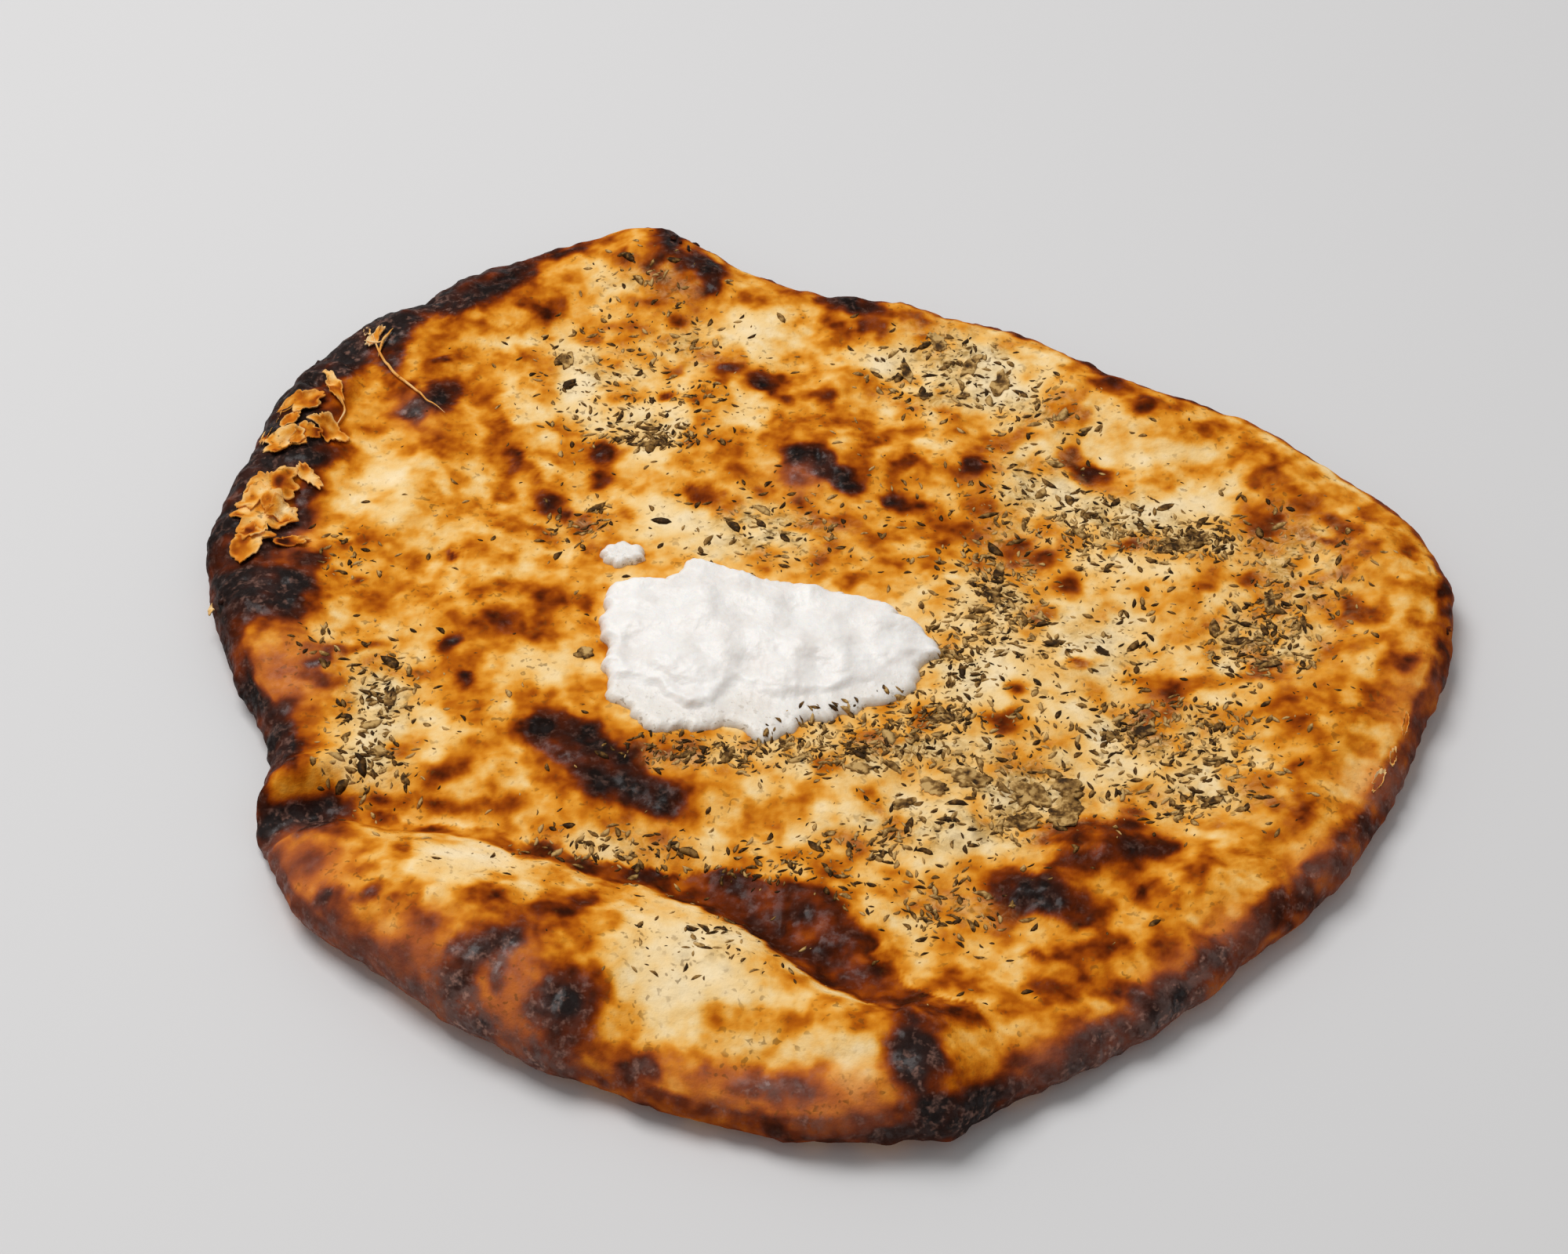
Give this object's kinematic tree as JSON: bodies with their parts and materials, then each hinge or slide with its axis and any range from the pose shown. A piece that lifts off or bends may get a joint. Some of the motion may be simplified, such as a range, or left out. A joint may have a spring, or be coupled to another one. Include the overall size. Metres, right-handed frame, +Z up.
{
  "type": "amritsari kulcha",
  "caption": "Round stuffed oven flatbread with a puffed, folded front edge, charred wavy rim, baked-on herb flecks and a smear of white butter on top.",
  "frame": {"origin": "middle of the underside, on the surface the bread rests on", "axes": "+Z up through the bread; +X towards the right-hand rim; -Y towards the puffed and folded front"},
  "size_m": [0.2504, 0.2469, 0.0176],
  "materials": {
    "toasted_crust": "baked dough, golden with charred spots, slightly oily",
    "white_butter": "soft white butter, satin"
  },
  "bodies": {
    "root": {"kulcha": "toasted_crust", "butter": "white_butter", "butter_dab": "white_butter"}
  },
  "joints": []
}
